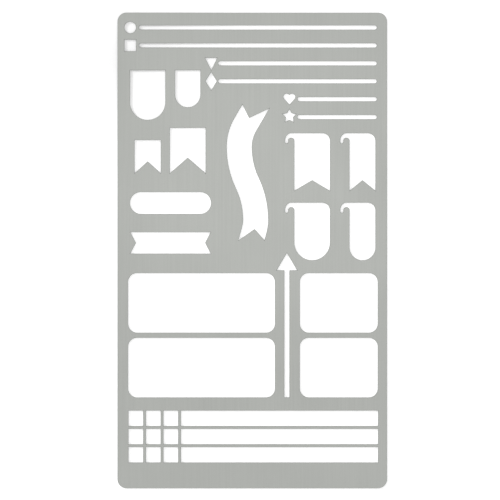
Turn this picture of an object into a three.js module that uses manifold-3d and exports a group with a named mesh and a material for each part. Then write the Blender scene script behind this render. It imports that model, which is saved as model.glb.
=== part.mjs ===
// A planner stencil: one flat sheet of stainless steel with pen guides cut right through it.
// Millimetres, +Z up. The sheet lies on Z = 0 with its long side along Y: the line guides are at the
// +Y end, and the bare strip that it is held by is at the -Y end. The origin is the underside's centre.
import * as THREE from "three";
import { mergeVertices } from "three/addons/utils/BufferGeometryUtils.js";
import Module from "manifold-3d";

// The sheet
const SHEET_WIDTH = 102;
const SHEET_HEIGHT = 180;
const SHEET_THICKNESS = 0.5;
const SHEET_CORNER_RADIUS = 3.4;

// Line guides: slots with round ends, in three pairs that all stop at one distance from the right edge
const LINE_WIDTH = 1.6;
const LINE_PITCH = 6.78;
const FIRST_LINE_INSET = 5.6;
const LINE_END_MARGIN = 3.9;
const SHORT_LINE_LENGTH = 30;

// Bullets: the small shape at the head of each line, centred in a lane of one width
const BULLET_LANE = 4.4;
const BULLET_MARGIN = 2.6;
const BULLET_TO_LONG_LINE = 1.1;
const BULLET_TO_MIDDLE_LINE = 0.45;
const BULLET_TO_SHORT_LINE = 0.85;
const BULLET_TO_TAB = 1.9;
const DOT_DIAMETER = 4.4;
const SQUARE_SIDE = 4.4;
const TRIANGLE_WIDTH = 4.55;
const TRIANGLE_HEIGHT = 4.65;
const TRIANGLE_RAISE = 2.05;
const DIAMOND_WIDTH = 4.3;
const DIAMOND_HEIGHT = 6.9;
const HEART_WIDTH = 4.5;
const HEART_HEIGHT = 4.2;
const HEART_LOBE_OVERLAP = 0.2;
const STAR_RADIUS = 2.7;
const STAR_WAIST_RADIUS = 1.4;
const STAR_RAISE = 0.33;

// Left block: round tabs over swallowtail flags in two columns, then a pill and a banner
const LEFT_BLOCK_MARGIN = 4.7;
const LINES_TO_TABS = 8.6;
const TAB_COLUMN_GAP = 1.7;
const WIDE_TAB_WIDTH = 13.4;
const WIDE_TAB_HEIGHT = 18.8;
const NARROW_TAB_WIDTH = 9.6;
const NARROW_TAB_HEIGHT = 14;
const TAB_TO_FLAG = 7.6;
const NARROW_FLAG_WIDTH = 9.9;
const NARROW_FLAG_HEIGHT = 12.6;
const NARROW_FLAG_NOTCH = 4.5;
const WIDE_FLAG_WIDTH = 13.5;
const WIDE_FLAG_HEIGHT = 17.2;
const WIDE_FLAG_NOTCH = 5.9;
const FLAGS_TO_PILL = 7.1;
const PILL_WIDTH = 30.7;
const PILL_HEIGHT = 8.3;
const PILL_TO_BANNER = 6.9;
const BANNER_WIDTH = 30.4;
const BANNER_HEIGHT = 8.1;
const BANNER_NOTCH = 2.1;

// Ribbon: a band of one width that runs down through three bends, with straight swallowtail ends
const RIBBON_WIDTH = 9.5;
const RIBBON_UPPER_RADIUS = 17;
const RIBBON_UPPER_SWEEP = 30.5;
const RIBBON_MIDDLE_RADIUS = 32;
const RIBBON_MIDDLE_RUN = 27.5;
const RIBBON_LOWER_RADIUS = 15;
const RIBBON_LOWER_SWEEP = 15;
const RIBBON_LEFT_TIP_RISE = 16.1;
const RIBBON_RIGHT_TIP_RISE = 14.6;
const RIBBON_TIP_DROP = 7.85;
const RIBBON_TOP_NOTCH = 5.05;
const RIBBON_BOTTOM_NOTCH = 4.45;
const LINES_TO_RIBBON = 8;
const RIBBON_SHIFT = -0.25;

// Right block: page flags that curl over at the left, two wide and two narrow
const RIGHT_BLOCK_MARGIN = 4.4;
const LINES_TO_PAGE_FLAGS = 5.3;
const PAGE_FLAG_HEIGHT = 21.8;
const WIDE_PAGE_FLAG_WIDTH = 13.5;
const NARROW_PAGE_FLAG_WIDTH = 9.8;
const PAGE_FLAG_NOTCH = 4;
const PAGE_FLAG_CORNER_RADIUS = 2.9;
const PAGE_FLAG_COLUMN_GAP = 3.9;
const PAGE_FLAG_ROW_GAP = 4.5;
const CURL_WIDTH = 1.15;
const CURL_BRIDGE = 1.7;
const CURL_HANG = 0.4;
const TONGUE_RADIUS = 1.17;

// Note boxes: two rows of a wide and a narrow box, which fill the height that the rest leaves
const BOX_LEFT_MARGIN = 4;
const BOX_RIGHT_MARGIN = 3.5;
const BOX_TOP_GAP = 4.85;
const BOX_ROWS = 2;
const BOX_ROW_GAP = 1.95;
const BOX_CORNER_RADIUS = 3.4;
const NARROW_BOX_WIDTH = 29.5;

// Arrow: in the lane between the boxes, with its head above them
const ARROW_LANE = 9.4;
const ARROW_TO_NARROW_BOX = 4.9;
const ARROW_SHAFT_WIDTH = 1.9;
const ARROW_HEAD_WIDTH = 7.7;
const ARROW_HEAD_HEIGHT = 6.55;
const ARROW_HEAD_RAISE = 1.05;

// Checklist: rows of square check boxes, each with a long list line beside them
const CHECK_ROWS = 3;
const CHECK_COLUMNS = 3;
const CHECK_WIDTH = 5.55;
const CHECK_HEIGHT = 5.83;
const CHECK_RIB = 1.07;
const CHECKLIST_LEFT_MARGIN = 4.15;
const CHECKLIST_RIGHT_MARGIN = 3.4;
const BOXES_TO_CHECKLIST = 5;
const HOLDING_STRIP = 9.75;

// How closely chords follow a curve, and how far a cutter runs past each face of the sheet
const CHORD_ERROR = 0.01;
const CUTTER_OVERRUN = 1;

// The sheet's edges
const LEFT = -SHEET_WIDTH / 2;
const RIGHT = SHEET_WIDTH / 2;
const TOP = SHEET_HEIGHT / 2;
const BOTTOM = -SHEET_HEIGHT / 2;

// Places down the sheet. The checklist stands on the holding strip, and the boxes fill the height
// that is left over it.
const lineCentre = (index) => TOP - FIRST_LINE_INSET - index * LINE_PITCH;
const underLine = (index) => lineCentre(index) - LINE_WIDTH / 2;
const belowLongLines = underLine(1);
const belowMiddleLines = underLine(3);
const belowShortLines = underLine(5);
const tabsTop = belowLongLines - LINES_TO_TABS;
const wideTabColumn = WIDE_TAB_HEIGHT + NARROW_FLAG_HEIGHT;
const narrowTabColumn = NARROW_TAB_HEIGHT + WIDE_FLAG_HEIGHT;
const flagsBottom = tabsTop - TAB_TO_FLAG - Math.max(wideTabColumn, narrowTabColumn);
const pillTop = flagsBottom - FLAGS_TO_PILL;
const bannerTop = pillTop - PILL_HEIGHT - PILL_TO_BANNER;
const upperBend = belowMiddleLines - LINES_TO_RIBBON - RIBBON_LEFT_TIP_RISE;
const lowerBend = upperBend - RIBBON_MIDDLE_RUN;
const pageFlagsTop = belowShortLines - LINES_TO_PAGE_FLAGS;
const pageTabsTop = pageFlagsTop - PAGE_FLAG_HEIGHT - PAGE_FLAG_ROW_GAP;
const blocksBottom = Math.min(
  bannerTop - BANNER_HEIGHT,
  lowerBend - RIBBON_TIP_DROP,
  pageTabsTop - PAGE_FLAG_HEIGHT,
);
const boxesTop = blocksBottom - BOX_TOP_GAP;
const checkRowPitch = CHECK_HEIGHT + CHECK_RIB;
const checklistTop = BOTTOM + HOLDING_STRIP + CHECK_ROWS * checkRowPitch - CHECK_RIB;
const boxesBottom = checklistTop + BOXES_TO_CHECKLIST;
const boxHeight = (boxesTop - boxesBottom - (BOX_ROWS - 1) * BOX_ROW_GAP) / BOX_ROWS;

// Places across the sheet
const leftBlock = LEFT + LEFT_BLOCK_MARGIN;
const firstColumnWidth = Math.max(WIDE_TAB_WIDTH, NARROW_FLAG_WIDTH);
const secondColumnWidth = Math.max(NARROW_TAB_WIDTH, WIDE_FLAG_WIDTH);
const firstColumn = leftBlock + firstColumnWidth / 2;
const secondColumn = leftBlock + firstColumnWidth + TAB_COLUMN_GAP + secondColumnWidth / 2;
const narrowPageFlagLeft = RIGHT - RIGHT_BLOCK_MARGIN - NARROW_PAGE_FLAG_WIDTH;
const curlReach = 2 * TONGUE_RADIUS + CURL_WIDTH;
const widePageFlagLeft = narrowPageFlagLeft - curlReach - PAGE_FLAG_COLUMN_GAP - WIDE_PAGE_FLAG_WIDTH;
const ribbonLane = (leftBlock + PILL_WIDTH + widePageFlagLeft - curlReach) / 2;
const ribbonCentre = ribbonLane + RIBBON_SHIFT;
const narrowBoxLeft = RIGHT - BOX_RIGHT_MARGIN - NARROW_BOX_WIDTH;
const wideBoxLeft = LEFT + BOX_LEFT_MARGIN;
const wideBoxWidth = narrowBoxLeft - ARROW_LANE - wideBoxLeft;
const arrowCentre = narrowBoxLeft - ARROW_TO_NARROW_BOX;
const lineEnd = RIGHT - LINE_END_MARGIN;
const longBullets = LEFT + BULLET_MARGIN + BULLET_LANE / 2;
const middleBullets = secondColumn + NARROW_TAB_WIDTH / 2 + BULLET_TO_TAB + BULLET_LANE / 2;
const shortBullets = lineEnd - SHORT_LINE_LENGTH - BULLET_TO_SHORT_LINE - BULLET_LANE / 2;

const point = (x, y) => new THREE.Vector2(x, y);
const radians = THREE.MathUtils.degToRad;
const degrees = THREE.MathUtils.radToDeg;

// Points along part of an ellipse, anticlockwise where the angle rises, in degrees from +X.
function arc(centreX, centreY, radiusX, radiusY, startDegrees, endDegrees) {
  const start = radians(startDegrees);
  const end = radians(endDegrees);
  const step = 2 * Math.acos(1 - CHORD_ERROR / Math.max(radiusX, radiusY));
  const curve = new THREE.EllipseCurve(centreX, centreY, radiusX, radiusY, start, end, end < start);
  return curve.getPoints(Math.ceil(Math.abs(end - start) / step));
}

const roundArc = (x, y, radius, start, end) => arc(x, y, radius, radius, start, end);

// Outlines of the plain shapes

function rectangle(left, top, width, height) {
  const right = left + width;
  const bottom = top - height;
  return [point(left, bottom), point(right, bottom), point(right, top), point(left, top)];
}

function roundedBox(left, top, width, height, cornerRadius) {
  const radius = Math.min(cornerRadius, width / 2, height / 2);
  const right = left + width - radius;
  const bottom = top - height + radius;
  return [
    ...roundArc(left + radius, bottom, radius, 180, 270),
    ...roundArc(right, bottom, radius, 270, 360),
    ...roundArc(right, top - radius, radius, 0, 90),
    ...roundArc(left + radius, top - radius, radius, 90, 180),
  ];
}

const pill = (left, top, width, height) => roundedBox(left, top, width, height, height / 2);

function roundTab(left, top, width, height) {
  const radius = width / 2;
  const curve = roundArc(left + radius, top - height + radius, radius, 180, 360);
  return [point(left, top), ...curve, point(left + width, top)];
}

function swallowtailFlag(left, top, width, height, notch) {
  const [bottomLeft, bottomRight, topRight, topLeft] = rectangle(left, top, width, height);
  return [bottomLeft, point(left + width / 2, bottomLeft.y + notch), bottomRight, topRight, topLeft];
}

function banner(left, top, width, height, notch) {
  const [bottomLeft, bottomRight, topRight, topLeft] = rectangle(left, top, width, height);
  const middle = top - height / 2;
  const rightNotch = point(left + width - notch, middle);
  return [bottomLeft, bottomRight, rightNotch, topRight, topLeft, point(left + notch, middle)];
}

// Outlines of the bullets, about their centres

const dot = (x, y) => roundArc(x, y, DOT_DIAMETER / 2, 0, 360);

const square = (x, y) => rectangle(x - SQUARE_SIDE / 2, y + SQUARE_SIDE / 2, SQUARE_SIDE, SQUARE_SIDE);

function triangle(x, y) {
  const top = y + TRIANGLE_RAISE;
  const tip = point(x, top - TRIANGLE_HEIGHT);
  return [tip, point(x + TRIANGLE_WIDTH / 2, top), point(x - TRIANGLE_WIDTH / 2, top)];
}

function diamond(x, y) {
  const left = point(x - DIAMOND_WIDTH / 2, y);
  const right = point(x + DIAMOND_WIDTH / 2, y);
  return [left, point(x, y - DIAMOND_HEIGHT / 2), right, point(x, y + DIAMOND_HEIGHT / 2)];
}

// Two round lobes that overlap at the middle, and the straight sides that touch them and meet at the tip.
function heart(x, y) {
  const lobeRadius = (HEART_WIDTH / 2 + HEART_LOBE_OVERLAP) / 2;
  const lobeOffset = HEART_WIDTH / 2 - lobeRadius;
  const lobeHeight = y + HEART_HEIGHT / 2 - lobeRadius;
  const tip = point(x, y - HEART_HEIGHT / 2);
  const toTip = point(-lobeOffset, tip.y - lobeHeight);
  const touch = Math.atan2(toTip.y, toTip.x) + Math.acos(lobeRadius / toTip.length());
  const cross = Math.acos(-lobeOffset / lobeRadius);
  const rightLobe = roundArc(x + lobeOffset, lobeHeight, lobeRadius, degrees(touch), degrees(cross));
  const leftLobe = rightLobe.map((p) => point(2 * x - p.x, p.y)).reverse();
  return [tip, ...rightLobe, ...leftLobe];
}

function star(x, y) {
  const points = 5;
  const corners = [];
  for (let i = 0; i < 2 * points; i += 1) {
    const radius = i % 2 === 0 ? STAR_RADIUS : STAR_WAIST_RADIUS;
    const angle = Math.PI / 2 + (i * Math.PI) / points;
    corners.push(point(x + radius * Math.cos(angle), y + STAR_RAISE + radius * Math.sin(angle)));
  }
  return corners;
}

// A page flag whose top edge curls over to the left and hangs down round a tongue of the sheet.
// The ending is the flag's lower edge, from its right side to its left.
function pageFlag(left, top, width, ending) {
  const right = left + width;
  const tongueX = left - TONGUE_RADIUS;
  const tongueY = top - CURL_BRIDGE - TONGUE_RADIUS;
  const curlRadius = CURL_WIDTH / 2;
  const curlTipX = left - 2 * TONGUE_RADIUS - curlRadius;
  const curlTipY = tongueY - CURL_HANG;
  const cornerX = right - PAGE_FLAG_CORNER_RADIUS;
  const cornerY = top - PAGE_FLAG_CORNER_RADIUS;
  return [
    ...ending,
    ...roundArc(tongueX, tongueY, TONGUE_RADIUS, 0, 180),
    ...roundArc(curlTipX, curlTipY, curlRadius, 360, 180),
    ...arc(tongueX, tongueY, TONGUE_RADIUS + CURL_WIDTH, TONGUE_RADIUS + CURL_BRIDGE, 180, 90),
    ...roundArc(cornerX, cornerY, PAGE_FLAG_CORNER_RADIUS, 90, 0),
  ];
}

function pageFlagWithNotch(left, top, width) {
  const bottom = top - PAGE_FLAG_HEIGHT;
  const notch = point(left + width / 2, bottom + PAGE_FLAG_NOTCH);
  return pageFlag(left, top, width, [point(left + width, bottom), notch, point(left, bottom)]);
}

function pageFlagWithRoundEnd(left, top, width) {
  const radius = width / 2;
  const centreY = top - PAGE_FLAG_HEIGHT + radius;
  return pageFlag(left, top, width, roundArc(left + radius, centreY, radius, 360, 180));
}

// The ribbon's middle line bows left at the upper bend and right at the lower one. Each edge is a
// chain of arcs about the same centres, half a width nearer to them or further away, with a straight
// run to each tip. A swallowtail's notch lies along the band from half way between its two tips.
function ribbon(centre) {
  const middleSweep = degrees(Math.asin(RIBBON_MIDDLE_RUN / 2 / RIBBON_MIDDLE_RADIUS));
  const sideways = 2 * RIBBON_MIDDLE_RADIUS * (1 - Math.cos(radians(middleSweep)));
  const upperX = centre - sideways / 2;
  const lowerX = centre + sideways / 2;
  const topSlope = radians(RIBBON_UPPER_SWEEP);
  const bottomSlope = radians(RIBBON_LOWER_SWEEP);
  const alongTangent = (end, slope, y) => point(end.x + (y - end.y) * Math.tan(slope), y);
  const edge = (shift, tipRise) => {
    const chain = [
      [upperX + RIBBON_UPPER_RADIUS, upperBend, RIBBON_UPPER_RADIUS - shift, 180 - RIBBON_UPPER_SWEEP, 180],
      [upperX + RIBBON_MIDDLE_RADIUS, upperBend, RIBBON_MIDDLE_RADIUS - shift, 180, 180 + middleSweep],
      [lowerX - RIBBON_MIDDLE_RADIUS, lowerBend, RIBBON_MIDDLE_RADIUS + shift, middleSweep, 0],
      [lowerX - RIBBON_LOWER_RADIUS, lowerBend, RIBBON_LOWER_RADIUS + shift, 0, -RIBBON_LOWER_SWEEP],
    ];
    const bends = chain.flatMap((bend) => roundArc(...bend));
    const topTip = alongTangent(bends[0], topSlope, upperBend + tipRise);
    const bottomTip = alongTangent(bends.at(-1), bottomSlope, lowerBend - RIBBON_TIP_DROP);
    return [topTip, ...bends, bottomTip];
  };
  const leftEdge = edge(-RIBBON_WIDTH / 2, RIBBON_LEFT_TIP_RISE);
  const rightEdge = edge(RIBBON_WIDTH / 2, RIBBON_RIGHT_TIP_RISE);
  const notch = (first, second, slope, depth) => {
    const middle = first.clone().lerp(second, 0.5);
    return point(middle.x + depth * Math.sin(slope), middle.y + depth * Math.cos(slope));
  };
  const topNotch = notch(leftEdge[0], rightEdge[0], topSlope, -RIBBON_TOP_NOTCH);
  const bottomNotch = notch(leftEdge.at(-1), rightEdge.at(-1), bottomSlope, RIBBON_BOTTOM_NOTCH);
  return [...leftEdge, bottomNotch, ...rightEdge.reverse(), topNotch];
}

function arrow(centre, headBase, bottom) {
  const shaft = rectangle(centre - ARROW_SHAFT_WIDTH / 2, headBase, ARROW_SHAFT_WIDTH, headBase - bottom);
  const [bottomLeft, bottomRight, neckRight, neckLeft] = shaft;
  const barbRight = point(centre + ARROW_HEAD_WIDTH / 2, headBase);
  const barbLeft = point(centre - ARROW_HEAD_WIDTH / 2, headBase);
  const tip = point(centre, headBase + ARROW_HEAD_HEIGHT);
  return [bottomLeft, bottomRight, neckRight, barbRight, tip, barbLeft, neckLeft];
}

// The groups of cut-outs

// Each line is headed by its own bullet: a long pair of lines at the top, a middle pair and a short pair.
function lineGuides() {
  const heads = [
    [dot, longBullets, BULLET_TO_LONG_LINE],
    [square, longBullets, BULLET_TO_LONG_LINE],
    [triangle, middleBullets, BULLET_TO_MIDDLE_LINE],
    [diamond, middleBullets, BULLET_TO_MIDDLE_LINE],
    [heart, shortBullets, BULLET_TO_SHORT_LINE],
    [star, shortBullets, BULLET_TO_SHORT_LINE],
  ];
  return heads.flatMap(([bullet, centre, gap], index) => {
    const y = lineCentre(index);
    const start = centre + BULLET_LANE / 2 + gap;
    return [bullet(centre, y), pill(start, y + LINE_WIDTH / 2, lineEnd - start, LINE_WIDTH)];
  });
}

function tabsAndFlags() {
  const tab = (column, width, height) => roundTab(column - width / 2, tabsTop, width, height);
  const flag = (column, width, height, notch) =>
    swallowtailFlag(column - width / 2, flagsBottom + height, width, height, notch);
  return [
    tab(firstColumn, WIDE_TAB_WIDTH, WIDE_TAB_HEIGHT),
    tab(secondColumn, NARROW_TAB_WIDTH, NARROW_TAB_HEIGHT),
    flag(firstColumn, NARROW_FLAG_WIDTH, NARROW_FLAG_HEIGHT, NARROW_FLAG_NOTCH),
    flag(secondColumn, WIDE_FLAG_WIDTH, WIDE_FLAG_HEIGHT, WIDE_FLAG_NOTCH),
  ];
}

function pillAndBanner() {
  const bannerLeft = leftBlock + (PILL_WIDTH - BANNER_WIDTH) / 2;
  return [
    pill(leftBlock, pillTop, PILL_WIDTH, PILL_HEIGHT),
    banner(bannerLeft, bannerTop, BANNER_WIDTH, BANNER_HEIGHT, BANNER_NOTCH),
  ];
}

function pageFlags() {
  return [
    pageFlagWithNotch(widePageFlagLeft, pageFlagsTop, WIDE_PAGE_FLAG_WIDTH),
    pageFlagWithNotch(narrowPageFlagLeft, pageFlagsTop, NARROW_PAGE_FLAG_WIDTH),
    pageFlagWithRoundEnd(widePageFlagLeft, pageTabsTop, WIDE_PAGE_FLAG_WIDTH),
    pageFlagWithRoundEnd(narrowPageFlagLeft, pageTabsTop, NARROW_PAGE_FLAG_WIDTH),
  ];
}

function noteBoxesAndArrow() {
  const cuts = [arrow(arrowCentre, boxesTop + ARROW_HEAD_RAISE, boxesBottom)];
  for (let row = 0; row < BOX_ROWS; row += 1) {
    const top = boxesTop - row * (boxHeight + BOX_ROW_GAP);
    cuts.push(roundedBox(wideBoxLeft, top, wideBoxWidth, boxHeight, BOX_CORNER_RADIUS));
    cuts.push(roundedBox(narrowBoxLeft, top, NARROW_BOX_WIDTH, boxHeight, BOX_CORNER_RADIUS));
  }
  return cuts;
}

function checklist() {
  const columnPitch = CHECK_WIDTH + CHECK_RIB;
  const left = LEFT + CHECKLIST_LEFT_MARGIN;
  const listLeft = left + CHECK_COLUMNS * columnPitch;
  const listWidth = RIGHT - CHECKLIST_RIGHT_MARGIN - listLeft;
  const cuts = [];
  for (let row = 0; row < CHECK_ROWS; row += 1) {
    const top = checklistTop - row * checkRowPitch;
    for (let column = 0; column < CHECK_COLUMNS; column += 1) {
      cuts.push(rectangle(left + column * columnPitch, top, CHECK_WIDTH, CHECK_HEIGHT));
    }
    cuts.push(rectangle(listLeft, top, listWidth, CHECK_HEIGHT));
  }
  return cuts;
}

// Solids

const wasm = await Module();
wasm.setup();

function extrude(outline, base, height) {
  const distinct = outline.filter((p, i) => p.distanceTo(outline.at(i - 1)) > CHORD_ERROR);
  const options = { depth: height, bevelEnabled: false };
  return new THREE.ExtrudeGeometry(new THREE.Shape(distinct), options).translate(0, 0, base);
}

function solidOf(geometry) {
  geometry.deleteAttribute("normal");
  geometry.deleteAttribute("uv");
  const merged = mergeVertices(geometry);
  const vertProperties = merged.attributes.position.array;
  const triVerts = new Uint32Array(merged.index.array);
  return new wasm.Manifold(new wasm.Mesh({ numProp: 3, vertProperties, triVerts }));
}

function geometryOf(solid) {
  const { vertProperties, triVerts } = solid.getMesh();
  const geometry = new THREE.BufferGeometry();
  geometry.setAttribute("position", new THREE.BufferAttribute(vertProperties, 3));
  geometry.setIndex(new THREE.BufferAttribute(triVerts, 1));
  geometry.computeVertexNormals();
  return geometry;
}

function stencilSheet() {
  const blank = roundedBox(LEFT, TOP, SHEET_WIDTH, SHEET_HEIGHT, SHEET_CORNER_RADIUS);
  const cutOuts = [
    ...lineGuides(),
    ...tabsAndFlags(),
    ...pillAndBanner(),
    ribbon(ribbonCentre),
    ...pageFlags(),
    ...noteBoxesAndArrow(),
    ...checklist(),
  ];
  let sheet = solidOf(extrude(blank, 0, SHEET_THICKNESS));
  for (const outline of cutOuts) {
    const cutterHeight = SHEET_THICKNESS + 2 * CUTTER_OVERRUN;
    sheet = sheet.subtract(solidOf(extrude(outline, -CUTTER_OVERRUN, cutterHeight)));
  }
  return geometryOf(sheet);
}

const satinSteel = new THREE.MeshStandardMaterial({
  color: 0xb4b5b1,
  metalness: 1,
  roughness: 0.42,
  flatShading: true,
});

const stencil = new THREE.Group();
const sheetMesh = new THREE.Mesh(stencilSheet(), satinSteel);
sheetMesh.name = "stencil_sheet";
stencil.add(sheetMesh);

export default stencil;
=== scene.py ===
# %% [markdown]
# # A planner stencil in satin stainless steel
#
# The object is one flat sheet of stainless steel, as big as a narrow notebook page, with pen guides cut
# right through it. This lesson dresses the CAD sheet for a close picture: it eases the sharp edges, gives
# the metal its rolled satin finish and lights it as a catalogue would, from straight above.
# Nothing is moved or resized, because the CAD model stays the measure of the object.

# %% Load the packed sheet
import math

import bmesh
import bpy
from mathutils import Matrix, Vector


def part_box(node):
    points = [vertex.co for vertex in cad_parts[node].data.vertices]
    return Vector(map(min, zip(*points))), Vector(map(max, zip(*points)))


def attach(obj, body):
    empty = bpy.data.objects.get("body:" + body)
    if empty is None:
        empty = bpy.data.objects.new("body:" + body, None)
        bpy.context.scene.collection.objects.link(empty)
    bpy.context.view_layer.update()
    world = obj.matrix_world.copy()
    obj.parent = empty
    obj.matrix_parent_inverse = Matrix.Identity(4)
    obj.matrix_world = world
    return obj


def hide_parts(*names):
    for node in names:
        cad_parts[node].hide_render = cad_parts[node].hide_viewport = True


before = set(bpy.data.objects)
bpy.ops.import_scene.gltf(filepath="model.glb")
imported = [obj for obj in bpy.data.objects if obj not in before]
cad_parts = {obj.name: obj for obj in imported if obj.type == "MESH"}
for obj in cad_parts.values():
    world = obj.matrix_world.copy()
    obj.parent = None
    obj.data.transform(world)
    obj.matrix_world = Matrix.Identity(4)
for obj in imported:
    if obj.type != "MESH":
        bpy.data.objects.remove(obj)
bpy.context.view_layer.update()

# %% Sizes that come from the CAD sheet
MM = 0.001

sheet_low, sheet_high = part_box("stencil_sheet")
sheet_size = sheet_high - sheet_low
print("sheet in mm:", [round(side / MM, 2) for side in sheet_size])

# %% [markdown]
# ## The camera
#
# The picture is taken from straight above, and all four edges of the sheet stay parallel, so the camera
# hangs high over the sheet with a long lens. It could be an orthographic camera, but a real lens keeps the
# other views natural. Its focal length follows from similar triangles: sensor over focal length is picture
# over distance. The four pixels where the sheet's edges lie in the picture give the scale and the centre.

# %% Camera
PICTURE_PIXELS = 500
SHEET_LEFT_PIXEL = 117.4
SHEET_RIGHT_PIXEL = 387.2
SHEET_TOP_PIXEL = 12.9
SHEET_BOTTOM_PIXEL = 488.0
CAMERA_HEIGHT = 1200 * MM

across = sheet_size.x / (SHEET_RIGHT_PIXEL - SHEET_LEFT_PIXEL)
along = sheet_size.y / (SHEET_BOTTOM_PIXEL - SHEET_TOP_PIXEL)
metres_per_pixel = (across + along) / 2
camera_data = bpy.data.cameras.new("picture_camera")
camera = bpy.data.objects.new("picture_camera", camera_data)
camera.location = (
    (PICTURE_PIXELS - SHEET_LEFT_PIXEL - SHEET_RIGHT_PIXEL) / 2 * metres_per_pixel,
    (SHEET_TOP_PIXEL + SHEET_BOTTOM_PIXEL - PICTURE_PIXELS) / 2 * metres_per_pixel,
    CAMERA_HEIGHT,
)
picture_width = PICTURE_PIXELS * metres_per_pixel
distance_to_sheet = CAMERA_HEIGHT - sheet_high.z
camera_data.lens = camera_data.sensor_width * distance_to_sheet / picture_width
bpy.context.scene.collection.objects.link(camera)
bpy.context.scene.camera = camera
print("picture width in mm:", round(picture_width / MM, 1), "lens:", round(camera_data.lens, 1))

# %% [markdown]
# ## The outlines
#
# A sheet like this is drawn as outlines first: one for the blank and one for each cut-out. The packed CAD
# mesh still holds them, as the rim of its top face. The rim is found on a merged copy of the mesh: it is
# every edge with a top face on one side only. Walking each edge the way its face turns keeps the metal on
# the left all the way round, so later steps know which side of a line is steel and which is air.

# %% Read the outlines
WELD = 0.001 * MM
# A normal's Z is 1 on the top face and 0 on a wall.
FACING_UP = 0.5


def outlines_of(node):
    """The closed outlines of a flat node's top face, as lists of points, with the metal on the left."""
    mesh = bmesh.new()
    mesh.from_mesh(node.data)
    bmesh.ops.remove_doubles(mesh, verts=mesh.verts, dist=WELD)
    following = {}
    for face in mesh.faces:
        for corner in face.loops:
            neighbour = corner.link_loop_radial_next.face
            if face.normal.z > FACING_UP > neighbour.normal.z:
                following[corner.vert] = corner.link_loop_next.vert
    outlines = []
    while following:
        start, vertex = following.popitem()
        outline = [start.co.copy()]
        while vertex != start:
            outline.append(vertex.co.copy())
            vertex = following.pop(vertex)
        outlines.append(outline)
    mesh.free()
    return outlines


outlines = outlines_of(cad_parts["stencil_sheet"])
print("outlines:", len(outlines), "points:", sum(len(outline) for outline in outlines))

# %% Outlines as one curve object
outline_curve = bpy.data.curves.new("stencil_outlines", "CURVE")
outline_curve.dimensions = "3D"
for outline in outlines:
    spline = outline_curve.splines.new("POLY")
    spline.points.add(len(outline) - 1)
    for spline_point, point in zip(spline.points, outline):
        spline_point.co = (point.x, point.y, sheet_low.z, 1)
    spline.use_cyclic_u = True
outline_object = bpy.data.objects.new("stencil_outlines", outline_curve)
bpy.context.scene.collection.objects.link(outline_object)
print("splines:", len(outline_curve.splines))

# %% [markdown]
# ## Nodes by script
#
# Both the sheet's geometry and its finish are built from nodes. One small function adds any node: it sets
# the node's own settings, fills the inputs that get a value and links those that get another node's output.


# %% Add a node
def add_node(tree, kind, inputs=(), **settings):
    """Adds a node. Inputs maps a socket's name or number to a value, or to an output to link from."""
    node = tree.nodes.new(kind)
    for name, value in settings.items():
        setattr(node, name, value)
    for name, value in dict(inputs).items():
        if isinstance(value, bpy.types.NodeSocket):
            tree.links.new(value, node.inputs[name])
        else:
            node.inputs[name].default_value = value
    return node


print("add_node:", add_node.__doc__)

# %% [markdown]
# ## The finish: satin rolled stainless steel
#
# The blank is cold-rolled stainless sheet whose faces were run under a fine abrasive belt. To the eye that
# is a quiet, neutral grey without clear reflections, because the belt's fine grain scatters the light. The
# cut edges are duller and a little darker, with upright marks down them from the cutting. The darker colour
# also covers the eased rims round every edge, and there it is painted shade: a dark line along each edge.
# A photo of steel could be laid on as an image, but a pattern worked out from sizes is sharp at any distance.
# Three noises do it, each stretched to real millimetres: the grain, the clouds where the belt pressed
# harder or softer, and the marks on the cut edges. The mesh says which faces are cut, by an attribute.

# %% Colours
FACE_DARK = "A9ABA7"
FACE_PALE = "BFC1BD"
# The cut colours are the duller steel of the cut walls. On the eased rims they are also painted shade, a dark
# line along every edge.
CUT_AND_RIM_SHADE_DARK = "8C8E8B"
CUT_AND_RIM_SHADE_PALE = "B0B2AE"


def linear(hex_colour):
    """A colour written as sRGB hex as the linear RGBA that shaders take, by the sRGB standard's formula."""
    channels = [int(hex_colour[i:i + 2], 16) / 255 for i in (0, 2, 4)]
    return [c / 12.92 if c <= 0.04045 else ((c + 0.055) / 1.055) ** 2.4 for c in channels] + [1.0]


for hex_colour in (FACE_DARK, FACE_PALE, CUT_AND_RIM_SHADE_DARK, CUT_AND_RIM_SHADE_PALE):
    print(hex_colour, "in linear light:", [round(channel, 3) for channel in linear(hex_colour)])

# %% Sizes of the patterns
# Each size is along X, Y and Z. The real grain is about 0.05 mm wide. A pixel of the picture is 0.4 mm, so it
# is drawn that much coarser.
GRAIN_SIZE = (0.6 * MM, 40 * MM, 0.6 * MM)
CLOUD_SIZE = (30 * MM, 30 * MM, 30 * MM)
# The cutting marks are drawn coarser too. Each is far longer than the wall is tall, so it runs right down it.
CUT_MARK_SIZE = (0.3 * MM, 0.3 * MM, 8 * MM)

for size in (GRAIN_SIZE, CLOUD_SIZE, CUT_MARK_SIZE):
    print("pattern in mm:", [round(side / MM, 1) for side in size])

# %% Satin steel
CUT_ATTRIBUTE = "cut_edge"
PATTERN_DETAIL = 3.0
CLOUD_SHARE = 0.5
LEAST_FACE_ROUGHNESS = 0.34
MOST_FACE_ROUGHNESS = 0.50
CUT_ROUGHNESS = 0.55
GRAIN_DEPTH = 0.004 * MM


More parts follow.
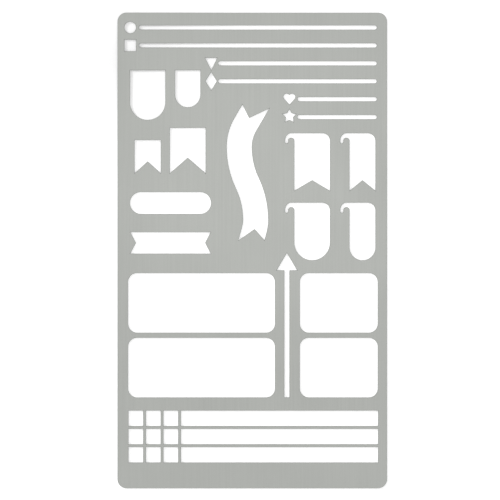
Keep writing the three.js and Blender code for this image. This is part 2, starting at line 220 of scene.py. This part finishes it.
def satin_steel():
    """Belt grain along Y over faint clouds on the faces, and darker, duller steel on the cut edges, whose
    eased rims carry painted shade.
    """
    material = bpy.data.materials.new("satin_rolled_stainless_steel")
    material.use_nodes = True
    tree = material.node_tree
    shader = tree.nodes["Principled BSDF"].inputs
    shader["Metallic"].default_value = 1.0
    place = add_node(tree, "ShaderNodeTexCoord").outputs["Object"]
    noises = []
    for size in (GRAIN_SIZE, CLOUD_SIZE, CUT_MARK_SIZE):
        scale = [1 / side for side in size]
        fitted = add_node(tree, "ShaderNodeMapping", {"Vector": place, "Scale": scale}).outputs["Vector"]
        noise = add_node(
            tree, "ShaderNodeTexNoise", {"Vector": fitted, "Scale": 1.0, "Detail": PATTERN_DETAIL}
        )
        noises.append(noise.outputs["Fac"])
    grain, clouds, cut_marks = noises
    cut = add_node(tree, "ShaderNodeAttribute", attribute_name=CUT_ATTRIBUTE).outputs["Fac"]

    # Sockets 2 and 3 of a Mix node are its two numbers and 6 and 7 its two colours.
    shade = add_node(tree, "ShaderNodeMix", {0: CLOUD_SHARE, 2: grain, 3: clouds}).outputs[0]
    face_colour = add_node(
        tree, "ShaderNodeMix", {0: shade, 6: linear(FACE_DARK), 7: linear(FACE_PALE)}, data_type="RGBA"
    ).outputs[2]
    # The cut colour is the duller cut steel, and on the eased rims it is painted shade along every edge.
    cut_and_rim_shade_colour = add_node(
        tree, "ShaderNodeMix", {0: cut_marks, 6: linear(CUT_AND_RIM_SHADE_DARK), 7: linear(CUT_AND_RIM_SHADE_PALE)}, data_type="RGBA"
    ).outputs[2]
    colour = add_node(
        tree, "ShaderNodeMix", {0: cut, 6: face_colour, 7: cut_and_rim_shade_colour}, data_type="RGBA"
    ).outputs[2]
    face_roughness = add_node(
        tree,
        "ShaderNodeMapRange",
        {"Value": shade, "To Min": LEAST_FACE_ROUGHNESS, "To Max": MOST_FACE_ROUGHNESS},
    ).outputs["Result"]
    roughness = add_node(tree, "ShaderNodeMix", {0: cut, 2: face_roughness, 3: CUT_ROUGHNESS}).outputs[0]
    relief = add_node(tree, "ShaderNodeMix", {0: cut, 2: grain, 3: cut_marks}).outputs[0]
    bump = add_node(tree, "ShaderNodeBump", {"Height": relief, "Distance": GRAIN_DEPTH}).outputs["Normal"]
    tree.links.new(colour, shader["Base Color"])
    tree.links.new(roughness, shader["Roughness"])
    tree.links.new(bump, shader["Normal"])
    return material


steel = satin_steel()
print("material:", steel.name, "nodes:", len(steel.node_tree.nodes))

# %% [markdown]
# ## The sheet
#
# The real blank is cut and then brushed, so no edge is razor sharp: each is eased by about a sixth of a
# millimetre, above and below. A Bevel modifier could do that, but it trips over the thin triangles of a
# faceted face. Here a Geometry Nodes tree sweeps the edge's own profile, an arc, a straight wall and an arc,
# along every outline, and fills the space between the outlines for the two flat faces. The tree has its
# sizes as named inputs, and the next cells put it together.

# %% Tree and its inputs
sheet_tree = bpy.data.node_groups.new("sheet_with_eased_edges", "GeometryNodeTree")
for name, kind in (
    ("Outlines", "NodeSocketObject"),
    ("Thickness", "NodeSocketFloat"),
    ("Edge Radius", "NodeSocketFloat"),
    ("Edge Points", "NodeSocketInt"),
    ("Mitre Limit", "NodeSocketFloat"),
    ("Weld", "NodeSocketFloat"),
    ("Steel", "NodeSocketMaterial"),
):
    sheet_tree.interface.new_socket(name, in_out="INPUT", socket_type=kind)
sheet_tree.interface.new_socket("Sheet", in_out="OUTPUT", socket_type="NodeSocketGeometry")
given = add_node(sheet_tree, "NodeGroupInput").outputs
print("inputs:", [socket.name for socket in given if socket.name])

# %% [markdown]
# A sweep sets its profile square to the middle of a corner, so the easing would get narrower there. The
# cure is a mitre, as in a picture frame: at a corner the profile is stretched outwards, by one over the
# cosine of half the turn. Points on a gentle curve turn so little that it leaves them as they are.

# %% Mitre
position = add_node(sheet_tree, "GeometryNodeInputPosition").outputs["Position"]
tangent = add_node(sheet_tree, "GeometryNodeInputTangent").outputs["Tangent"]
next_point = add_node(sheet_tree, "GeometryNodeOffsetPointInCurve", {"Offset": 1}).outputs["Point Index"]
next_position = add_node(
    sheet_tree, "GeometryNodeFieldAtIndex", {"Value": position, "Index": next_point}, data_type="FLOAT_VECTOR"
).outputs["Value"]
step = add_node(
    sheet_tree, "ShaderNodeVectorMath", {0: next_position, 1: position}, operation="SUBTRACT"
).outputs["Vector"]
ahead = add_node(sheet_tree, "ShaderNodeVectorMath", {0: step}, operation="NORMALIZE").outputs["Vector"]
cosine = add_node(
    sheet_tree, "ShaderNodeVectorMath", {0: ahead, 1: tangent}, operation="DOT_PRODUCT"
).outputs["Value"]
stretch = add_node(sheet_tree, "ShaderNodeMath", {0: 1.0, 1: cosine}, operation="DIVIDE").outputs["Value"]
limited_stretch = add_node(
    sheet_tree, "ShaderNodeMath", {0: stretch, 1: given["Mitre Limit"]}, operation="MINIMUM"
).outputs["Value"]
print("stretch at a square corner:", round(1 / math.cos(math.radians(90) / 2), 3))

# %% Lines that keep their mitre
outline_lines = add_node(
    sheet_tree, "GeometryNodeObjectInfo", {"Object": given["Outlines"]}
).outputs["Geometry"]
upright = add_node(
    sheet_tree, "GeometryNodeSetCurveNormal", {"Curve": outline_lines}, mode="Z_UP"
).outputs["Curve"]
kept = add_node(sheet_tree, "GeometryNodeCaptureAttribute", {"Geometry": upright})
kept.capture_items.new("FLOAT", "Mitre")
kept.capture_items.new("VECTOR", "Place")
sheet_tree.links.new(limited_stretch, kept.inputs["Mitre"])
sheet_tree.links.new(position, kept.inputs["Place"])
line, mitre, place = kept.outputs["Geometry"], kept.outputs["Mitre"], kept.outputs["Place"]
print("kept at each point:", [item.name for item in kept.capture_items])

# %% [markdown]
# Seen end on, the eased edge is a quarter circle, a short straight wall and another quarter circle. It could
# be one line through typed points, but arcs take their radius and their number of points from the inputs.
# The profile is drawn flat: its X runs out of the metal, and its Y down, as the sweep turns it.

# %% Profile of the edge
QUARTER_TURN = math.radians(90)

radius = given["Edge Radius"]
minus_radius = add_node(
    sheet_tree, "ShaderNodeMath", {0: 0.0, 1: radius}, operation="SUBTRACT"
).outputs["Value"]
wall_top = add_node(
    sheet_tree, "ShaderNodeMath", {0: radius, 1: given["Thickness"]}, operation="SUBTRACT"
).outputs["Value"]
profile = add_node(sheet_tree, "GeometryNodeJoinGeometry")
for start_angle, middle in ((-QUARTER_TURN, wall_top), (0.0, minus_radius)):
    arc = add_node(
        sheet_tree,
        "GeometryNodeCurveArc",
        {
            "Resolution": given["Edge Points"],
            "Radius": radius,
            "Start Angle": start_angle,
            "Sweep Angle": QUARTER_TURN,
        },
    ).outputs["Curve"]
    centre = add_node(sheet_tree, "ShaderNodeCombineXYZ", {"X": minus_radius, "Y": middle}).outputs["Vector"]
    placed = add_node(sheet_tree, "GeometryNodeTransform", {"Geometry": arc, "Translation": centre})
    sheet_tree.links.new(placed.outputs["Geometry"], profile.inputs["Geometry"])
wall = add_node(
    sheet_tree,
    "GeometryNodeCurvePrimitiveLine",
    {
        "Start": add_node(sheet_tree, "ShaderNodeCombineXYZ", {"Y": wall_top}).outputs["Vector"],
        "End": add_node(sheet_tree, "ShaderNodeCombineXYZ", {"Y": minus_radius}).outputs["Vector"],
    },
).outputs["Curve"]
sheet_tree.links.new(wall, profile.inputs["Geometry"])
print("lines in the profile:", len(profile.inputs["Geometry"].links))

# %% [markdown]
# The profile now runs along every outline, as a moulding runs round a panel, and is pushed out to its mitre
# at the corners. The new faces are the ones that were cut, so they are marked for the finish. A second
# material could tell them apart too, but one piece of steel is one material.

# %% Swept edges
swept = add_node(
    sheet_tree, "GeometryNodeCurveToMesh", {"Curve": line, "Profile Curve": profile.outputs["Geometry"]}
).outputs["Mesh"]
outwards = add_node(
    sheet_tree, "ShaderNodeVectorMath", {0: position, 1: place}, operation="SUBTRACT"
).outputs["Vector"]
extra = add_node(sheet_tree, "ShaderNodeMath", {0: mitre, 1: 1.0}, operation="SUBTRACT").outputs["Value"]
flat_extra = add_node(sheet_tree, "ShaderNodeCombineXYZ", {"X": extra, "Y": extra}).outputs["Vector"]
push = add_node(
    sheet_tree, "ShaderNodeVectorMath", {0: outwards, 1: flat_extra}, operation="MULTIPLY"
).outputs["Vector"]
mitred = add_node(
    sheet_tree, "GeometryNodeSetPosition", {"Geometry": swept, "Offset": push}
).outputs["Geometry"]
# The mark gives these faces the darker cut colour, which on the eased rims is painted shade.
edges = add_node(
    sheet_tree,
    "GeometryNodeStoreNamedAttribute",
    {"Geometry": mitred, "Name": CUT_ATTRIBUTE, "Value": 1.0},
    data_type="FLOAT",
    domain="FACE",
).outputs["Geometry"]
print("nodes so far:", len(sheet_tree.nodes))

# %% [markdown]
# The two faces are what the belt brushed. They could be a grid with the cut-outs taken away, but a flat face
# needs no points inside it. So each outline moves into the metal by the width of the easing, and the space
# between the outlines is filled. The faces then stop where the easing starts.

# %% Flat faces
normal = add_node(sheet_tree, "GeometryNodeInputNormal").outputs["Normal"]
inset = add_node(
    sheet_tree, "ShaderNodeMath", {0: minus_radius, 1: mitre}, operation="MULTIPLY"
).outputs["Value"]
inwards = add_node(
    sheet_tree, "ShaderNodeVectorMath", {0: normal, "Scale": inset}, operation="SCALE"
).outputs["Vector"]
rim = add_node(
    sheet_tree, "GeometryNodeSetPosition", {"Geometry": line, "Offset": inwards}
).outputs["Geometry"]
filled = add_node(sheet_tree, "GeometryNodeFillCurve", {"Curve": rim}, mode="TRIANGLES").outputs["Mesh"]
up = add_node(sheet_tree, "ShaderNodeCombineXYZ", {"Z": given["Thickness"]}).outputs["Vector"]
top = add_node(
    sheet_tree, "GeometryNodeTransform", {"Geometry": filled, "Translation": up}
).outputs["Geometry"]
underside = add_node(sheet_tree, "GeometryNodeFlipFaces", {"Mesh": filled}).outputs["Mesh"]
print("nodes so far:", len(sheet_tree.nodes))

# %% [markdown]
# Edges and faces meet in the same points, so a weld closes them to one solid sheet. The edges are shaded
# smooth round their curves, and the faces stay flat. Smooth shading all over could be simpler, but it would
# bend the light on the flat faces.

# %% Joined and shaded
SMOOTH_ANGLE = math.radians(30)

whole = add_node(sheet_tree, "GeometryNodeJoinGeometry")
for part in (edges, top, underside):
    sheet_tree.links.new(part, whole.inputs["Geometry"])
welded = add_node(
    sheet_tree,
    "GeometryNodeMergeByDistance",
    {"Geometry": whole.outputs["Geometry"], "Distance": given["Weld"]},
).outputs["Geometry"]
cut = add_node(
    sheet_tree, "GeometryNodeInputNamedAttribute", {"Name": CUT_ATTRIBUTE}, data_type="BOOLEAN"
).outputs["Attribute"]
smooth = add_node(
    sheet_tree, "GeometryNodeSetShadeSmooth", {"Geometry": welded, "Shade Smooth": cut}, domain="FACE"
).outputs["Geometry"]
angle = add_node(sheet_tree, "GeometryNodeInputMeshEdgeAngle").outputs["Unsigned Angle"]
sharp = add_node(
    sheet_tree, "FunctionNodeCompare", {"A": angle, "B": SMOOTH_ANGLE}, operation="GREATER_THAN"
).outputs["Result"]
creased = add_node(
    sheet_tree,
    "GeometryNodeSetShadeSmooth",
    {"Geometry": smooth, "Selection": sharp, "Shade Smooth": False},
    domain="EDGE",
).outputs["Geometry"]
real = add_node(sheet_tree, "GeometryNodeRealizeInstances", {"Geometry": creased}).outputs["Geometry"]
steel_sheet = add_node(
    sheet_tree, "GeometryNodeSetMaterial", {"Geometry": real, "Material": given["Steel"]}
).outputs["Geometry"]
add_node(sheet_tree, "NodeGroupOutput", {"Sheet": steel_sheet})
print("tree:", sheet_tree.name, "nodes:", len(sheet_tree.nodes))

# %% Make the sheet
EDGE_RADIUS = 0.16 * MM
EDGE_POINTS = 5
MITRE_LIMIT = 2.5


def made_by(tree, name, **values):
    """An object with the plain mesh that a Geometry Nodes tree makes from these input values."""
    made = bpy.data.objects.new(name, bpy.data.meshes.new(name))
    bpy.context.scene.collection.objects.link(made)
    modifier = made.modifiers.new(tree.name, "NODES")
    modifier.node_group = tree
    for socket in tree.interface.items_tree:
        if socket.in_out == "INPUT":
            modifier[socket.identifier] = values[socket.name.replace(" ", "_").lower()]
    evaluated = made.evaluated_get(bpy.context.evaluated_depsgraph_get())
    plain = bpy.data.meshes.new_from_object(evaluated)
    made.modifiers.clear()
    made.data = plain
    plain.name = name
    # The node tree adds its material after an empty first slot.
    plain.materials.pop(index=0)
    return made


sheet = made_by(
    sheet_tree,
    "satin_stencil_sheet",
    outlines=outline_object,
    thickness=sheet_size.z,
    edge_radius=EDGE_RADIUS,
    edge_points=EDGE_POINTS,
    mitre_limit=MITRE_LIMIT,
    weld=WELD,
    steel=steel,
)
bpy.data.objects.remove(outline_object)
bpy.data.curves.remove(outline_curve)
print("sheet faces:", len(sheet.data.polygons), "material:", sheet.data.materials[0].name)


# %% Measure the sheet
def measured(mesh):
    """The volume in cubic millimetres, the number of open or shared edges and the number of triangles."""
    copy = bmesh.new()
    copy.from_mesh(mesh)
    loose = sum(1 for edge in copy.edges if len(edge.link_faces) != 2)
    volume = copy.calc_volume(signed=True) / MM ** 3
    triangles = sum(len(face.verts) - 2 for face in copy.faces)
    copy.free()
    return round(volume, 2), loose, triangles


print("sheet volume, edges not closed, triangles:", measured(sheet.data))

# %% [markdown]
# ## The floor
#
# The sheet lies on a sheet of white paper that fills the picture, and the paper shows through every cut-out.
# It could be lit until it burns out, but that light would fall on the steel as well. So the paper is matt
# white, and its material adds a little brightness of its own to what a camera, a mirror or a pane of glass
# sees. The lamps still light it, so the edges still drop their short shadows on it. In the picture those
# shadows are deepest near the upper left corner, so the added brightness fades to nothing there.
# The paper lies a hair below the sheet, because two faces in one plane would show through each other. It is
# clear from behind and to rays that only cross that hair, so a camera below it sees a well lit underside.


# %% Where a surface is seen
def seen_directly(tree):
    """One where a camera, a mirror or a pane of glass sees the surface, and nothing where it gives light."""
    path = add_node(tree, "ShaderNodeLightPath").outputs
    seen = path["Is Camera Ray"]
    for ray in ("Is Glossy Ray", "Is Transmission Ray"):
        seen = add_node(tree, "ShaderNodeMath", {0: seen, 1: path[ray]}, operation="MAXIMUM").outputs["Value"]
    return seen


print("seen_directly:", seen_directly.__doc__)

# %% White paper
PAPER_WHITE = "F4F4F4"
PAPER_LIFT = 0.28
FADE_FROM_LEFT = 3.3 * MM
FADE_FROM_TOP = 18 * MM
FADE_REACH = 45 * MM
PAPER_GAP = 0.02 * MM
# A ray that is shorter than this has only crossed the gap.
SHORT_RAY = 0.1 * MM

fade_middle = (sheet_low.x + FADE_FROM_LEFT, sheet_high.y - FADE_FROM_TOP, sheet_low.z)


def white_paper():
    """Matt white that looks brighter where it is seen, and that is clear from behind and to short rays."""
    material = bpy.data.materials.new("matt_white_paper")
    material.use_nodes = True
    tree = material.node_tree
    tree.nodes.remove(tree.nodes["Principled BSDF"])
    matt = add_node(tree, "ShaderNodeBsdfDiffuse", {"Color": linear(PAPER_WHITE)}).outputs["BSDF"]
    place = add_node(tree, "ShaderNodeTexCoord").outputs["Object"]
    away = add_node(
        tree, "ShaderNodeVectorMath", {0: place, 1: fade_middle}, operation="DISTANCE"
    ).outputs["Value"]
    faded = add_node(
        tree, "ShaderNodeMapRange", {"Value": away, "From Max": FADE_REACH, "To Max": PAPER_LIFT}
    ).outputs["Result"]
    lift = add_node(
        tree, "ShaderNodeMath", {0: seen_directly(tree), 1: faded}, operation="MULTIPLY"
    ).outputs["Value"]
    glow = add_node(tree, "ShaderNodeEmission", {"Strength": lift}).outputs["Emission"]
    front = add_node(tree, "ShaderNodeAddShader", {0: matt, 1: glow}).outputs["Shader"]
    behind = add_node(tree, "ShaderNodeNewGeometry").outputs["Backfacing"]
    length = add_node(tree, "ShaderNodeLightPath").outputs["Ray Length"]
    short = add_node(
        tree, "ShaderNodeMath", {0: length, 1: SHORT_RAY}, operation="LESS_THAN"
    ).outputs["Value"]
    unseen = add_node(tree, "ShaderNodeMath", {0: behind, 1: short}, operation="MAXIMUM").outputs["Value"]
    clear = add_node(tree, "ShaderNodeBsdfTransparent").outputs["BSDF"]
    surface = add_node(tree, "ShaderNodeMixShader", {0: unseen, 1: front, 2: clear}).outputs["Shader"]
    tree.links.new(surface, tree.nodes["Material Output"].inputs["Surface"])
    return material


paper = white_paper()
print("material:", paper.name, "nodes:", len(paper.node_tree.nodes))

# %% Floor
FLOOR_SIDE = 12.0

half = FLOOR_SIDE / 2
height = sheet_low.z - PAPER_GAP
floor_corners = [(-half, -half, height), (half, -half, height), (half, half, height), (-half, half, height)]
floor_mesh = bpy.data.meshes.new("paper_floor")
floor_mesh.from_pydata(floor_corners, [], [(0, 1, 2, 3)])
floor_mesh.materials.append(paper)
floor = bpy.data.objects.new("paper_floor", floor_mesh)
bpy.context.scene.collection.objects.link(floor)
print("floor in m:", FLOOR_SIDE, "material:", floor_mesh.materials[0].name)

# %% [markdown]
# ## The light
#
# Flat metal shows whatever it faces, so a catalogue lights it with a white surround. Here the world is that
# surround: almost white where the camera or the steel sees it, and a little lower as light on the paper, so
# that the shadows keep their depth. A softbox close over the upper half makes the steel brighter there, as
# in the picture. A low key from the upper left drops the short shadows inside the cut-outs. It could be a
# small lamp close by, but that lights one side of the paper far more than the other, so it is a sun, which is
# even everywhere. It is left out of glossy rays, because in the steel it would show as a bright smudge.

# %% World
WORLD_LIGHT = 0.84
WORLD_SEEN = 0.95

world = bpy.data.worlds.new("white_surround")
bpy.context.scene.world = world
world.use_nodes = True
surround = world.node_tree.nodes["Background"].inputs
surround["Color"].default_value = linear("FFFFFF")
strength = add_node(
    world.node_tree,
    "ShaderNodeMapRange",
    {"Value": seen_directly(world.node_tree), "To Min": WORLD_LIGHT, "To Max": WORLD_SEEN},
).outputs["Result"]
world.node_tree.links.new(strength, surround["Strength"])
print("world light:", WORLD_LIGHT, "world as seen:", WORLD_SEEN)

# %% Softbox
# A square lamp's watts are its radiance times pi times its area.
SOFTBOX_SIDE = 100 * MM
SOFTBOX_PLACE = (0, 32 * MM, 70 * MM)
SOFTBOX_RADIANCE = 0.13

softbox_lamp = bpy.data.lights.new("overhead_softbox", "AREA")
softbox_lamp.shape = "SQUARE"
softbox_lamp.size = SOFTBOX_SIDE
softbox_lamp.energy = SOFTBOX_RADIANCE * math.pi * SOFTBOX_SIDE ** 2
softbox = bpy.data.objects.new("overhead_softbox", softbox_lamp)
softbox.location = SOFTBOX_PLACE
softbox.visible_camera = False
bpy.context.scene.collection.objects.link(softbox)
print("softbox watts:", round(softbox_lamp.energy, 4))

# %% Key for the paper
# A sun shines alike everywhere, so its place only gives its direction. Its share is of the paper's white.
KEY_PLACE = (-190 * MM, 120 * MM, 80 * MM)
KEY_WIDTH = math.radians(8)
KEY_SHARE = 0.20

key_sun = bpy.data.lights.new("paper_key", "SUN")
key_sun.angle = KEY_WIDTH
key = bpy.data.objects.new("paper_key", key_sun)
key.location = KEY_PLACE
key.rotation_euler = key.location.to_track_quat("Z", "Y").to_euler()
key.visible_glossy = False
bpy.context.scene.collection.objects.link(key)
key_slant = key.location.z / key.location.length
key_sun.energy = KEY_SHARE * math.pi / key_slant
print("key watts per square metre:", round(key_sun.energy, 3))

# %% [markdown]
# ## Hand over
#
# The Standard view transform leaves colours as they were written. The new sheet stands for the CAD sheet
# and rides on the same body, so the object is still one piece of one size.

# %% Tie the sheet to its body
bpy.context.scene.view_settings.view_transform = "Standard"
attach(sheet, "root")
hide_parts("stencil_sheet")
print("pieces:", [sheet.name], "replaces: stencil_sheet")
